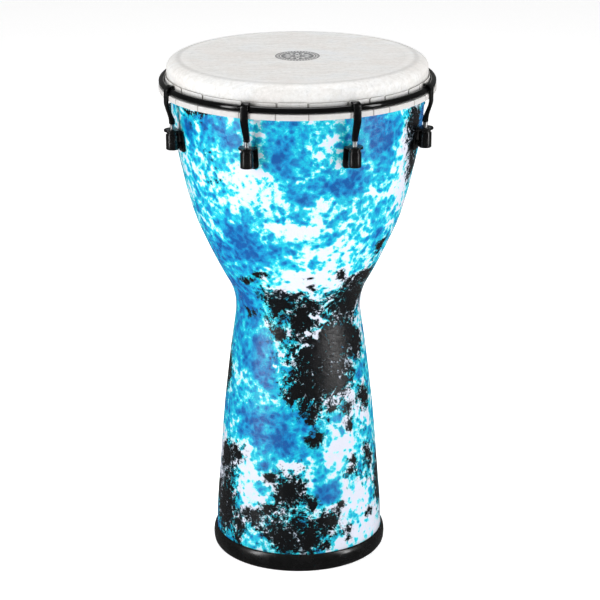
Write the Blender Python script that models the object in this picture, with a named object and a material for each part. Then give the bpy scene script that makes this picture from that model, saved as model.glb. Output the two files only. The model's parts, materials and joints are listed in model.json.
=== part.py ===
"""Djembe with a mechanical tuning system.

A goblet shell stands on a rubber foot ring. A tucked synthetic drumhead lies over the
rounded bearing edge. A round steel rim presses the head's flesh hoop down, and eight
hooks pull the rim: each hook's threaded rod passes through a bracket on the shell and
ends in a tuning nut under a rubber sleeve.

Dimensions are in millimetres. The drum stands on z = 0 and its axis is the Z axis.
Heights are called z, distances from the axis are called radius.
"""
import math

import bmesh
import bpy
from mathutils import Matrix, Vector

MM = 0.001
GAP = 0.3                      # clearance between two pieces that rest on each other
SEGMENTS = 48                  # sides of the large turned parts; a multiple of 16

# Shell: (height, outer radius) of the goblet, foot to bearing edge
SHELL_STATIONS = [
    (5.8, 101.1), (45, 100.6), (90, 97.3), (170, 91.0), (245, 82.6), (288, 76.6),
    (305, 74.9), (320, 75.9), (335, 80.2), (350, 88.2), (370, 98.5), (395, 110.2),
    (420, 120.7), (450, 129.7), (480, 136.6), (505, 142.1), (530, 145.8), (560, 148.4),
    (599.7, 151.3),
]
SHELL_WALL = 6.5
SHELL_INNER_HEIGHTS = [5.8, 22, 90, 180, 255, 290, 305, 322, 345, 370, 400, 440, 480, 505, 530, 580]
LIP_RADIUS = 132.4             # inner edge of the turned-in bearing edge
LIP_DROP = 4.0                 # height of that inner edge
LIP_UNDERSIDE_Z = 598.0

# Drumhead film
HEAD_TOP_Z = 610.0
FILM = 0.8
FLAT_RADIUS = 134.6            # where the flat playing surface starts to roll over
HEAD_RADIUS = 152.4            # a 12 inch head
ROLL_HEIGHT = 10.3
ROLL_STEPS = 5
TUCK_OUTER_RADIUS = 162.0
TUCK_BOTTOM_Z = 572.6
TUCK_TOP_Z = 579.5
TUCK_CORNER = 1.0
TAB_TOP_Z = 591.4

# Rim and flesh hoop
RIM_BAR_RADIUS = 3.7
RIM_RADIUS = 157.9
RIM_Z = TUCK_TOP_Z + GAP + RIM_BAR_RADIUS
RIM_SIDES = 8

# Foot ring: a rubber channel pushed on the shell's lower end
FOOT_RADIUS = 105.4
FOOT_HEIGHT = 22.0
FOOT_BASE = 5.5
FOOT_INNER_RADIUS = 91.4
FOOT_INNER_HEIGHT = 15.0
FOOT_CORNER = 2.5

# Tuners
TUNERS = 8
FIRST_TUNER_ANGLE = -67.5      # degrees round from the front, seen from above
TUNER_STEP = 360 / TUNERS
ROD_RADIUS = 157.0             # distance of the threaded rods from the drum's axis
ROD_HALF = 2.85
ROD_BOTTOM_Z = 521.5
ROD_HIDDEN_TOP_Z = 548.7
ROD_SIDES = 10

HOOK_GAP = 0.5
HOOK_THICKNESS = 3.0
HOOK_WIDTH = 9.2
HOOK_WRAP = 122                # degrees that the hook reaches round the rim's bar
HOOK_WRAP_STEPS = 6
HOOK_BEND_Z = 567.0
HOOK_FOOT_Z = 545.2
HOOK_FOOT_WIDTH = 6.8
HOOK_FOOT_THICKNESS = 6.4

BRACKET_THICKNESS = 2.2
BRACKET_WIDTH = 19.0
BRACKET_STANDOFF = 0.6
BRACKET_BOTTOM_Z = 512.0
EAR_TOP_Z = 539.2
EAR_HOLE = 3.5
EAR_END_STEPS = 4

NUT_FLATS = 9.4
NUT_BORE = 3.2
NUT_BOTTOM_Z = 520.0
COVER_RADIUS = 7.5
COVER_NECK_RADIUS = 6.7
COVER_NECK = 3.0
COVER_BOTTOM_Z = 515.5
COVER_MOUTH_Z = 525.0
COVER_MOUTH_RADIUS = 6.2
COVER_SIDES = 16

# Bracket bolts
BOLT_Z = 518.5
BOLT_HALF = 2.75
BOLT_HOLE = 3.05
BOLT_HEAD_RADIUS = 4.9
BOLT_HEAD_HEIGHT = 1.6
BOLT_TAIL = 2.0                # thread that shows past the lock nut
BOLT_SIDES = 10
LOCK_NUT_HEIGHT = 5.0
LOCK_NUT_STANDOFF = 0.7        # the flat flange meets the shell's curved inner face at its edges
LOCK_FLANGE_RADIUS = 6.6
LOCK_FLANGE_HEIGHT = 1.4

# Material: colour, roughness, metallic
FINISHES = {
    "dyed_shell": ((0.06, 0.45, 0.72), 0.45, 0.0),
    "black_rubber": ((0.012, 0.012, 0.013), 0.55, 0.0),
    "head_film": ((0.86, 0.85, 0.82), 0.5, 0.0),
    "hoop_steel": ((0.55, 0.56, 0.58), 0.35, 1.0),
    "black_rim_steel": ((0.018, 0.018, 0.02), 0.3, 0.4),
    "black_hook_steel": ((0.02, 0.02, 0.022), 0.35, 0.4),
    "black_bracket_steel": ((0.016, 0.016, 0.018), 0.4, 0.4),
    "zinc_nut": ((0.62, 0.63, 0.65), 0.3, 1.0),
    "sleeve_rubber": ((0.014, 0.014, 0.015), 0.6, 0.0),
    "black_oxide_bolt": ((0.03, 0.03, 0.032), 0.3, 0.4),
    "zinc_lock_nut": ((0.58, 0.59, 0.6), 0.35, 1.0),
}


# ---------------------------------------------------------------- helpers

def clear_scene():
    for obj in list(bpy.data.objects):
        bpy.data.objects.remove(obj, do_unlink=True)


def material(name):
    colour, roughness, metallic = FINISHES[name]
    mat = bpy.data.materials.new(name)
    mat.use_nodes = True
    shader = mat.node_tree.nodes["Principled BSDF"]
    shader.inputs["Base Color"].default_value = (*colour, 1.0)
    shader.inputs["Roughness"].default_value = roughness
    shader.inputs["Metallic"].default_value = metallic
    mat.diffuse_color = (*colour, 1.0)
    return mat


def mesh_from(bm, name):
    bmesh.ops.recalc_face_normals(bm, faces=bm.faces)
    mesh = bpy.data.meshes.new(name)
    bm.to_mesh(mesh)
    bm.free()
    mesh.shade_smooth()
    mesh.set_sharp_from_angle(angle=math.radians(35))
    return mesh


def turned(name, outline, sides):
    """Solid of revolution round Z from a closed outline of (radius, height) points."""
    bm = bmesh.new()
    rings = []
    for radius, height in outline:
        if radius < 1e-6:
            rings.append([bm.verts.new((0, 0, height * MM))] * sides)
            continue
        ring = []
        for i in range(sides):
            angle = math.tau * i / sides
            x = radius * math.sin(angle)
            y = -radius * math.cos(angle)
            ring.append(bm.verts.new((x * MM, y * MM, height * MM)))
        rings.append(ring)
    for lower, upper in zip(rings, rings[1:] + rings[:1]):
        for i in range(sides):
            j = (i + 1) % sides
            corners = dict.fromkeys((lower[i], lower[j], upper[j], upper[i]))
            if len(corners) > 2:
                bm.faces.new(corners)
    return mesh_from(bm, name)


def strip(name, stations):
    """Flat bar in the plane of a tuner. A station is (radius, height, tilt, width, thickness).

    Tilt is the direction of the bar's outer face in degrees: 0 faces out, 90 faces up.
    """
    bm = bmesh.new()
    sections = []
    for radius, height, tilt, width, thickness in stations:
        out = Vector((0, -math.cos(math.radians(tilt)), math.sin(math.radians(tilt))))
        middle = Vector((0, -radius, height))
        section = []
        for side, face in ((-1, -1), (1, -1), (1, 1), (-1, 1)):
            corner = middle + Vector((side * width / 2, 0, 0)) + out * (face * thickness / 2)
            section.append(bm.verts.new(corner * MM))
        sections.append(section)
    for first, second in zip(sections, sections[1:]):
        for i in range(4):
            j = (i + 1) % 4
            bm.faces.new((first[i], first[j], second[j], second[i]))
    bm.faces.new(sections[0])
    bm.faces.new(sections[-1])
    return mesh_from(bm, name)


def prism(name, across, low, high, sides, turn=0.0):
    """Upright regular prism round Z; across is its corner radius."""
    bm = bmesh.new()
    rings = []
    for height in (low, high):
        ring = []
        for i in range(sides):
            angle = math.tau * (i + turn) / sides
            point = Vector((across * math.cos(angle), across * math.sin(angle), height))
            ring.append(bm.verts.new(point * MM))
        rings.append(ring)
    for i in range(sides):
        j = (i + 1) % sides
        bm.faces.new((rings[0][i], rings[0][j], rings[1][j], rings[1][i]))
    bm.faces.new(rings[0])
    bm.faces.new(rings[1])
    return mesh_from(bm, name)


def combine(mesh, other, operation, placements=(Matrix(),)):
    """Mesh with a Boolean of another mesh at each placement."""
    base = bpy.data.objects.new("base", mesh)
    bpy.context.collection.objects.link(base)
    helpers = [base]
    for placement in placements:
        helper = bpy.data.objects.new("helper", other)
        bpy.context.collection.objects.link(helper)
        helper.matrix_world = placement
        helpers.append(helper)
        modifier = base.modifiers.new(operation, "BOOLEAN")
        modifier.operation = operation
        modifier.object = helper
        modifier.solver = "EXACT"
    bpy.context.view_layer.update()
    graph = bpy.context.evaluated_depsgraph_get()
    result = bpy.data.meshes.new_from_object(base.evaluated_get(graph))
    result.name = mesh.name
    for helper in helpers:
        bpy.data.objects.remove(helper, do_unlink=True)
    result.shade_smooth()
    result.set_sharp_from_angle(angle=math.radians(35))
    return result


def place(name, mesh, finish, parent=None, location=(0, 0, 0), rotation=(0, 0, 0)):
    obj = bpy.data.objects.new(name, mesh)
    bpy.context.collection.objects.link(obj)
    obj.parent = parent
    obj.location = Vector(location) * MM
    obj.rotation_euler = rotation
    if not mesh.materials:
        mesh.materials.append(finish)
    return obj


def hex_corner(flats):
    return flats / 2 / math.cos(math.pi / 6)


def quarter(centre, reach_r, reach_z, start, end, steps):
    """Points on an ellipse; angle 0 points away from the axis, 90 points up."""
    points = []
    for i in range(steps + 1):
        angle = math.radians(start + (end - start) * i / steps)
        points.append((centre[0] + reach_r * math.cos(angle), centre[1] + reach_z * math.sin(angle)))
    return points


# ---------------------------------------------------------------- shell

def shell_radius(z):
    """Outer radius of the shell, a smooth curve through its stations."""
    last = len(SHELL_STATIONS) - 2
    i = max(0, min(last, sum(1 for station in SHELL_STATIONS if station[0] <= z) - 1))

    def slope(k):
        a = SHELL_STATIONS[max(0, k - 1)]
        b = SHELL_STATIONS[min(last + 1, k + 1)]
        return (b[1] - a[1]) / (b[0] - a[0])

    (z0, r0), (z1, r1) = SHELL_STATIONS[i], SHELL_STATIONS[i + 1]
    h = z1 - z0
    t = (z - z0) / h
    start = (2 * t**3 - 3 * t**2 + 1) * r0 + (t**3 - 2 * t**2 + t) * h * slope(i)
    end = (-2 * t**3 + 3 * t**2) * r1 + (t**3 - t**2) * h * slope(i + 1)
    return start + end


def shell_slope(z):
    step = 0.5
    return (shell_radius(z + step) - shell_radius(z - step)) / (2 * step)


def shell_inner_radius(z):
    lean = shell_slope(max(z, SHELL_STATIONS[0][0] + 1))
    return shell_radius(z) - SHELL_WALL * math.sqrt(1 + lean * lean)


def build_shell(finish, bolt_placements):
    outer = [(radius, z) for z, radius in SHELL_STATIONS]
    roll_centre = (FLAT_RADIUS, HEAD_TOP_Z - ROLL_HEIGHT)
    inset = FILM + GAP
    edge = quarter(roll_centre, HEAD_RADIUS - FLAT_RADIUS - inset, ROLL_HEIGHT - inset, 0, 90, ROLL_STEPS)
    edge_top = edge[-1][1]
    lip = [
        (LIP_RADIUS, edge_top - LIP_DROP / 2),
        (LIP_RADIUS, edge_top - LIP_DROP),
        (LIP_RADIUS + 3.5, LIP_UNDERSIDE_Z),
    ]
    inner = [(shell_inner_radius(z), z) for z in reversed(SHELL_INNER_HEIGHTS)]
    mesh = turned("shell", outer + edge[1:] + lip + inner, SEGMENTS)
    hole = prism("bolt_hole", BOLT_HOLE, -20, 20, BOLT_SIDES)
    mesh = combine(mesh, hole, "DIFFERENCE", bolt_placements)
    return place("shell", mesh, finish)


def build_foot_ring(finish):
    channel_outer = shell_radius(FOOT_BASE + 1) + GAP
    channel_inner = shell_inner_radius(FOOT_INNER_HEIGHT) - GAP
    outline = quarter((FOOT_RADIUS - FOOT_CORNER, FOOT_CORNER), FOOT_CORNER, FOOT_CORNER, -90, 0, 3)
    outline += quarter((FOOT_RADIUS - FOOT_CORNER, FOOT_HEIGHT - FOOT_CORNER), FOOT_CORNER, FOOT_CORNER, 0, 90, 3)
    outline += [
        (channel_outer, FOOT_HEIGHT),
        (channel_outer, FOOT_BASE),
        (channel_inner, FOOT_BASE),
        (channel_inner, FOOT_INNER_HEIGHT),
        (FOOT_INNER_RADIUS, FOOT_INNER_HEIGHT),
        (FOOT_INNER_RADIUS, 0),
    ]
    return place("foot_ring", turned("foot_ring", outline, SEGMENTS), finish)


# ---------------------------------------------------------------- head and rim

def build_drumhead(finish):
    """One sheet: playing surface, roll, collar, and the tuck round the flesh hoop.

    The sheet's last stretch, the tabs, stands beside the collar inside the rim, so the
    pocket that holds the hoop stays open at the top.
    """
    roll_centre = (FLAT_RADIUS, HEAD_TOP_Z - ROLL_HEIGHT)
    reach = HEAD_RADIUS - FLAT_RADIUS
    collar_inner = HEAD_RADIUS - FILM
    tab_inner = HEAD_RADIUS + GAP
    tab_outer = tab_inner + FILM
    air_side = [(0, HEAD_TOP_Z)]
    air_side += quarter(roll_centre, reach, ROLL_HEIGHT, 90, 0, ROLL_STEPS)
    pocket = [
        (HEAD_RADIUS, TUCK_BOTTOM_Z + FILM),
        (TUCK_OUTER_RADIUS - FILM, TUCK_BOTTOM_Z + FILM),
        (TUCK_OUTER_RADIUS - FILM, TUCK_TOP_Z - FILM),
        (tab_inner, TUCK_TOP_Z - FILM),
        (tab_inner, TAB_TOP_Z),
    ]
    tuck = [
        (tab_outer, TAB_TOP_Z),
        (tab_outer, TUCK_TOP_Z),
        (TUCK_OUTER_RADIUS - TUCK_CORNER, TUCK_TOP_Z),
        (TUCK_OUTER_RADIUS, TUCK_TOP_Z - TUCK_CORNER),
        (TUCK_OUTER_RADIUS, TUCK_BOTTOM_Z + TUCK_CORNER),
        (TUCK_OUTER_RADIUS - TUCK_CORNER, TUCK_BOTTOM_Z),
        (collar_inner + TUCK_CORNER, TUCK_BOTTOM_Z),
        (collar_inner, TUCK_BOTTOM_Z + TUCK_CORNER),
    ]
    shell_side = quarter(roll_centre, reach - FILM, ROLL_HEIGHT - FILM, 0, 90, ROLL_STEPS)
    shell_side += [(0, HEAD_TOP_Z - FILM)]
    mesh = turned("drumhead", air_side + pocket + tuck + shell_side, SEGMENTS)
    return place("drumhead", mesh, finish)


def build_flesh_hoop(finish):
    """Flat steel hoop that fills the drumhead's tuck."""
    inner = HEAD_RADIUS + 3 * GAP
    outer = TUCK_OUTER_RADIUS - FILM - GAP
    low = TUCK_BOTTOM_Z + FILM + GAP
    high = TUCK_TOP_Z - FILM - GAP
    outline = [(inner, low), (outer, low), (outer, high), (inner, high)]
    return place("flesh_hoop", turned("flesh_hoop", outline, SEGMENTS), finish)


def build_rim(finish):
    outline = quarter((RIM_RADIUS, RIM_Z), RIM_BAR_RADIUS, RIM_BAR_RADIUS, 0, 360, RIM_SIDES)[:-1]
    return place("rim", turned("rim", outline, SEGMENTS), finish)


# ---------------------------------------------------------------- tuners

def bracket_lean():
    """Lean of the bracket's plate, in degrees from upright, so that it lies on the shell."""
    rise = EAR_TOP_Z - BRACKET_BOTTOM_Z
    return math.degrees(math.atan2(shell_radius(EAR_TOP_Z) - shell_radius(BRACKET_BOTTOM_Z), rise))


def plate_radius(z):
    """Middle of the plate's thickness at height z."""
    slope = math.tan(math.radians(bracket_lean()))
    foot = shell_radius(BRACKET_BOTTOM_Z) + BRACKET_STANDOFF + BRACKET_THICKNESS / 2
    return foot + (z - BRACKET_BOTTOM_Z) * slope


def bolt_frame():
    """Frame of a bolt in its tuner's plane: on the plate's outer face, +Z pointing out."""
    lean = math.radians(bracket_lean())
    out = Vector((0, -math.cos(lean), -math.sin(lean)))
    origin = Vector((0, -plate_radius(BOLT_Z), BOLT_Z)) + out * (BRACKET_THICKNESS / 2)
    turn = Vector((0, 0, 1)).rotation_difference(out).to_matrix().to_4x4()
    return Matrix.Translation(origin * MM) @ turn


def hook_mesh():
    wrap_radius = RIM_BAR_RADIUS + HOOK_GAP + HOOK_THICKNESS / 2
    drop_radius = RIM_RADIUS + wrap_radius
    stations = []
    for i in range(HOOK_WRAP_STEPS + 1):
        angle = HOOK_WRAP * (1 - i / HOOK_WRAP_STEPS)
        radius = RIM_RADIUS + wrap_radius * math.cos(math.radians(angle))
        height = RIM_Z + wrap_radius * math.sin(math.radians(angle))
        stations.append((radius, height, angle, HOOK_WIDTH, HOOK_THICKNESS))
    lean = math.degrees(math.atan2(drop_radius - ROD_RADIUS, HOOK_BEND_Z - HOOK_FOOT_Z))
    bend_width = (HOOK_WIDTH + HOOK_FOOT_WIDTH) / 2
    bend_thickness = (HOOK_THICKNESS + HOOK_FOOT_THICKNESS) / 2
    stations += [
        (drop_radius, HOOK_BEND_Z + 3, 0, HOOK_WIDTH, HOOK_THICKNESS),
        (drop_radius - 0.4, HOOK_BEND_Z - 2, -lean, HOOK_WIDTH, HOOK_THICKNESS),
        (ROD_RADIUS + 1.2, HOOK_FOOT_Z + 9, -lean, bend_width, bend_thickness),
        (ROD_RADIUS, HOOK_FOOT_Z + 4, 0, HOOK_FOOT_WIDTH, HOOK_FOOT_THICKNESS),
        (ROD_RADIUS, HOOK_FOOT_Z, 0, HOOK_FOOT_WIDTH, HOOK_FOOT_THICKNESS),
    ]
    bar = strip("tension_hook", stations)
    rod = prism("rod", ROD_HALF, ROD_BOTTOM_Z, ROD_HIDDEN_TOP_Z, ROD_SIDES, 0.5)
    return combine(bar, rod, "UNION", [Matrix.Translation((0, -ROD_RADIUS * MM, 0))])


def bracket_mesh():
    lean = bracket_lean()
    ear_z = EAR_TOP_Z - BRACKET_THICKNESS / 2
    half = BRACKET_WIDTH / 2
    corner_radius = plate_radius(ear_z)
    stations = [
        (plate_radius(BRACKET_BOTTOM_Z), BRACKET_BOTTOM_Z, -lean, BRACKET_WIDTH - 5, BRACKET_THICKNESS),
        (plate_radius(BRACKET_BOTTOM_Z + 2.5), BRACKET_BOTTOM_Z + 2.5, -lean, BRACKET_WIDTH, BRACKET_THICKNESS),
        (plate_radius(ear_z - 2.5), ear_z - 2.5, -lean, BRACKET_WIDTH, BRACKET_THICKNESS),
        (corner_radius + 0.7, ear_z - 0.7, -45, BRACKET_WIDTH, BRACKET_THICKNESS),
        (corner_radius + 3, ear_z, -90, BRACKET_WIDTH, BRACKET_THICKNESS),
    ]
    for i in range(EAR_END_STEPS + 1):
        angle = math.radians(80 * i / EAR_END_STEPS)
        radius = ROD_RADIUS + half * math.sin(angle)
        stations.append((radius, ear_z, -90, BRACKET_WIDTH * math.cos(angle), BRACKET_THICKNESS))
    plate = strip("lug_bracket", stations)
    rod_hole = prism("rod_hole", EAR_HOLE, ear_z - 5, ear_z + 5, ROD_SIDES)
    plate = combine(plate, rod_hole, "DIFFERENCE", [Matrix.Translation((0, -ROD_RADIUS * MM, 0))])
    bolt_hole = prism("bolt_hole", BOLT_HOLE, -10, 10, BOLT_SIDES)
    return combine(plate, bolt_hole, "DIFFERENCE", [bolt_frame()])


def nut_top():
    return EAR_TOP_Z - BRACKET_THICKNESS - GAP


def nut_mesh():
    """Long hex nut; its origin is the underside of the bracket's ear."""
    low = NUT_BOTTOM_Z - nut_top()
    nut = prism("tuning_nut", hex_corner(NUT_FLATS), low, 0, 6)
    bore = prism("bore", NUT_BORE, low - 5, 5, ROD_SIDES)
    return combine(nut, bore, "DIFFERENCE")


def cover_mesh():
    """Rubber sleeve on the nut, open at the bottom for the tuning key."""
    low = COVER_BOTTOM_Z - nut_top()
    mouth = COVER_MOUTH_Z - nut_top()
    outline = [
        (0, low), (COVER_RADIUS - 0.8, low), (COVER_RADIUS, low + 0.8),
        (COVER_RADIUS, -COVER_NECK - 0.6), (COVER_NECK_RADIUS, -COVER_NECK), (COVER_NECK_RADIUS, 0), (0, 0),
    ]
    sleeve = turned("nut_cover", outline, COVER_SIDES)
    pocket = prism("pocket", hex_corner(NUT_FLATS + 2 * GAP), low - 5, 5, 6)
    sleeve = combine(sleeve, pocket, "DIFFERENCE")
    opening = prism("mouth", COVER_MOUTH_RADIUS, low - 5, mouth, COVER_SIDES)
    return combine(sleeve, opening, "DIFFERENCE")


def bolt_stack():
    """Depths below the plate's outer face: the shell's inner face, the lock nut's far side."""
    lean = math.radians(bracket_lean())
    to_shell = (plate_radius(BOLT_Z) - shell_radius(BOLT_Z)) * math.cos(lean) + BRACKET_THICKNESS / 2
    seat = to_shell + SHELL_WALL + LOCK_NUT_STANDOFF
    return seat, seat + LOCK_NUT_HEIGHT


def bolt_mesh():
    """Button-head bolt; its origin is on the plate's outer face and +Z points out."""
    far = bolt_stack()[1]
    shoulder = BOLT_HEAD_RADIUS * 0.65
    outline = [
        (0, -far - BOLT_TAIL), (BOLT_HALF, -far - BOLT_TAIL), (BOLT_HALF, GAP), (BOLT_HEAD_RADIUS, GAP),
        (BOLT_HEAD_RADIUS, GAP + BOLT_HEAD_HEIGHT * 0.4), (shoulder, GAP + BOLT_HEAD_HEIGHT),
        (0, GAP + BOLT_HEAD_HEIGHT),
    ]
    return turned("bracket_bolt", outline, BOLT_SIDES)


def lock_nut_mesh():
    """Flanged hex nut that sits on the shell's inner face."""
    seat, far = bolt_stack()
    outline = [(0, -seat - LOCK_FLANGE_HEIGHT), (LOCK_FLANGE_RADIUS, -seat - LOCK_FLANGE_HEIGHT),
               (LOCK_FLANGE_RADIUS, -seat), (0, -seat)]
    flange = turned("lock_nut", outline, BOLT_SIDES)
    body = prism("body", hex_corner(NUT_FLATS), -far, -seat - LOCK_FLANGE_HEIGHT / 2, 6)
    nut = combine(flange, body, "UNION")
    bore = prism("bore", BOLT_HOLE, -far - 5, -seat + 5, BOLT_SIDES)
    return combine(nut, bore, "DIFFERENCE")


def build_tuners(finishes):
    hook = hook_mesh()
    bracket = bracket_mesh()
    nut = nut_mesh()
    cover = cover_mesh()
    bolt = bolt_mesh()
    lock_nut = lock_nut_mesh()
    frame = bolt_frame()
    bolt_place = frame.to_translation() / MM
    bolt_turn = frame.to_euler()
    for k in range(TUNERS):
        station = bpy.data.objects.new(f"tuner_station_{k + 1}", None)
        bpy.context.collection.objects.link(station)
        station.rotation_euler = (0, 0, math.radians(FIRST_TUNER_ANGLE + k * TUNER_STEP))
        on_rod = (0, -ROD_RADIUS, nut_top())
        place(f"tension_hook_{k + 1}", hook, finishes["black_hook_steel"], station)
        place(f"lug_bracket_{k + 1}", bracket, finishes["black_bracket_steel"], station)
        place(f"tuning_nut_{k + 1}", nut, finishes["zinc_nut"], station, on_rod)
        place(f"nut_cover_{k + 1}", cover, finishes["sleeve_rubber"], station, on_rod)
        place(f"bracket_bolt_{k + 1}", bolt, finishes["black_oxide_bolt"], station, bolt_place, bolt_turn)
        place(f"lock_nut_{k + 1}", lock_nut, finishes["zinc_lock_nut"], station, bolt_place, bolt_turn)


def main():
    clear_scene()
    finishes = {name: material(name) for name in FINISHES}
    turns = [Matrix.Rotation(math.radians(FIRST_TUNER_ANGLE + k * TUNER_STEP), 4, "Z") for k in range(TUNERS)]
    build_shell(finishes["dyed_shell"], [turn @ bolt_frame() for turn in turns])
    build_foot_ring(finishes["black_rubber"])
    build_drumhead(finishes["head_film"])
    build_flesh_hoop(finishes["hoop_steel"])
    build_rim(finishes["black_rim_steel"])
    build_tuners(finishes)


main()
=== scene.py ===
"""Looks of the djembe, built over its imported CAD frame.

Lengths are in millimetres and become metres through MM. The drum's axis is Z. An azimuth
is in degrees round from the front, which faces -Y, towards +X.
"""
import json
import math
import random

import bmesh
import bpy
import numpy as np
from mathutils import Matrix, Vector, noise


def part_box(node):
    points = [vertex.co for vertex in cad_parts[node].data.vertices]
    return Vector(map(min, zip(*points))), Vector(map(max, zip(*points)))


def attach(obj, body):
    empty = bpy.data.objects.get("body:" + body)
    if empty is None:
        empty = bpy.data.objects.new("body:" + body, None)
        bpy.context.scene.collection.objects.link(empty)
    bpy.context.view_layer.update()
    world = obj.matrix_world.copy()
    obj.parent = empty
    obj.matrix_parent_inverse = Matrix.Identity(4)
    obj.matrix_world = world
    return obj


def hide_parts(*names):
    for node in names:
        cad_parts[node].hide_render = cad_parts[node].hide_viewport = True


MM = 0.001
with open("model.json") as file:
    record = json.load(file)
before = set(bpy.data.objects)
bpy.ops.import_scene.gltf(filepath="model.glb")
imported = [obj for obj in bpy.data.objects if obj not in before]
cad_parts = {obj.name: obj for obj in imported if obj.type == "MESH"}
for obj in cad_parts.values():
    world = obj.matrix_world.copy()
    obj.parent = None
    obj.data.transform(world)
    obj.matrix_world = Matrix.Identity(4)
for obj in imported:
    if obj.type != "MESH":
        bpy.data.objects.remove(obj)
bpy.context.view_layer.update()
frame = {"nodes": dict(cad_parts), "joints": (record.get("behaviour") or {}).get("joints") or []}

# ---- sizes shared with the CAD

GAP = 0.3  # between pieces that touch on the real drum

TUNERS = 8
FIRST_TUNER = -67.5  # azimuth
TUNER_STEP = 360 / TUNERS
TUNER_POINT = next(j["pos_m"] for j in frame["joints"] if j["name"] == "tuner_turn_1")
ROD_RADIUS = math.hypot(TUNER_POINT[0], TUNER_POINT[1]) / MM

HEAD_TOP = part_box("drumhead")[1].z / MM
HEAD_RADIUS = 152.4
FLAT_RADIUS = 134.6  # where the flat playing surface starts to roll over
ROLL_HEIGHT = 10.3
ROLL_REACH = HEAD_RADIUS - FLAT_RADIUS
ROLL_CENTRE = (FLAT_RADIUS, HEAD_TOP - ROLL_HEIGHT)
FILM = 0.8
TUCK_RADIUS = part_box("drumhead")[1].x / MM
TUCK_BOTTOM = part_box("drumhead")[0].z / MM
TUCK_TOP = 579.5
TAB_TOP = 591.4
LIP_RADIUS = 132.4  # inner edge of the shell's turned-in bearing edge

RIM_LOW, RIM_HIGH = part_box("rim")
RIM_BAR = (RIM_HIGH.z - RIM_LOW.z) / 2 / MM  # half its thickness
RIM_RADIUS = RIM_HIGH.x / MM - RIM_BAR
RIM_Z = (RIM_LOW.z + RIM_HIGH.z) / 2 / MM

HOOK_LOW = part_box("tension_hook_1")[0].z / MM
HOOK_FOOT = 545.2
HOOK_FOOT_WIDTH = 6.8
HOOK_FOOT_THICKNESS = 6.4
HOOK_GAP = 0.5  # between the hook and the rim
HOOK_THICKNESS = 3.0
HOOK_WIDTH = 9.2
HOOK_WRAP = 122  # degrees that the hook reaches round the rim
ROD_OUTER = 2.85
EAR_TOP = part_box("lug_bracket_1")[1].z / MM
PLATE_BOTTOM = 512.0
PLATE_THICKNESS = 2.2
PLATE_WIDTH = 19.0
EAR_HOLE = 3.5
NUT_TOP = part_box("tuning_nut_1")[1].z / MM
COVER_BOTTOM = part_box("nut_cover_1")[0].z / MM
COVER_RADIUS = 7.5
COVER_BORE = 5.65
COVER_MOUTH = 6.2
COVER_MOUTH_TOP = 525.0
BOLT_Z = 518.5
BOLT_HALF = 2.75
BOLT_HEAD = 4.9
BOLT_LENGTH = 17.4

FOOT_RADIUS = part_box("foot_ring")[1].x / MM
FOOT_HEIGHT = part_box("foot_ring")[1].z / MM
FOOT_BORE = 91.4
FOOT_CHANNEL = (94.2, 101.45)  # radii of the channel that takes the shell's end
FOOT_FLOOR = 5.5
FOOT_LIP = 15.0  # top of the wall inside the shell

SHARP_ANGLE = 40.0  # edges that turn by more than this stay sharp


# ---- mesh helpers

def smoothed(points, steps):
    """Points on a smooth curve through rows of numbers, steps to each stretch."""
    rows = np.array(points, float)
    slopes = np.gradient(rows, axis=0)
    out = []
    for i in range(len(rows) - 1):
        for s in range(steps):
            t = s / steps
            out.append(
                (2 * t**3 - 3 * t**2 + 1) * rows[i] + (t**3 - 2 * t**2 + t) * slopes[i]
                + (3 * t**2 - 2 * t**3) * rows[i + 1] + (t**3 - t**2) * slopes[i + 1]
            )
    out.append(rows[-1])
    return out


def arc(centre, radii, start, end, steps):
    """Points on an ellipse; angle 0 points away from the axis, 90 points up."""
    angles = np.radians(np.linspace(start, end, steps + 1))
    return [(centre[0] + radii[0] * math.cos(a), centre[1] + radii[1] * math.sin(a)) for a in angles]


def on_drum(radius, angle, height):
    """A place in metres, at an azimuth in radians."""
    return radius * math.sin(angle) * MM, -radius * math.cos(angle) * MM, height * MM


def finish_mesh(name, verts, faces, sharp=SHARP_ANGLE):
    """Smooth-shaded mesh from vertices in metres."""
    mesh = bpy.data.meshes.new(name)
    mesh.from_pydata([tuple(v) for v in verts], [], faces)
    mesh.validate()
    mesh.shade_smooth()
    mesh.set_sharp_from_angle(angle=math.radians(sharp))
    return mesh


def bridged(rings):
    """Faces between each ring of vertex numbers and the next. A ring may repeat one number."""
    faces = []
    for low, high in zip(rings, rings[1:]):
        for corners in zip(low, low[1:] + low[:1], high[1:] + high[:1], high):
            face = list(dict.fromkeys(corners))
            if len(face) > 2:
                faces.append(face)
    return faces


def capped(name, verts, size, sharp=SHARP_ANGLE):
    """Closed mesh through rings of so many vertices each, with a face at both ends."""
    rings = [list(range(start, start + size)) for start in range(0, len(verts), size)]
    return finish_mesh(name, verts, [rings[0][::-1], rings[-1], *bridged(rings)], sharp)


def lathe(name, outline, sides, closed=True, extra=()):
    """Mesh turned round Z from (radius, height) points, with extra columns at given azimuths."""
    even = {round(360 * i / sides, 3) for i in range(sides)}
    degrees = sorted(even | {round(a % 360, 3) for a in extra})
    angles = np.radians(degrees)
    columns = len(degrees)
    verts = []
    rings = []
    for radius, height in outline:
        if radius < 1e-6:
            rings.append([len(verts)] * columns)
            verts.append((0.0, 0.0, height * MM))
            continue
        rings.append(list(range(len(verts), len(verts) + columns)))
        verts += [on_drum(radius, a, height) for a in angles]
    return finish_mesh(name, verts, bridged(rings + rings[:1] if closed else rings))


def round_section(width, thickness, corner):
    """Rounded rectangle as (across, outwards) points, anticlockwise seen along the sweep."""
    corner = min(corner, width / 2 * 0.999, thickness / 2 * 0.999)
    points = []
    for side, face, start in ((1, 1, 0), (-1, 1, 90), (-1, -1, 180), (1, -1, 270)):
        centre = (side * (width / 2 - corner), face * (thickness / 2 - corner))
        points += arc(centre, (corner, corner), start, start + 90, 4)
    return points


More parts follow.
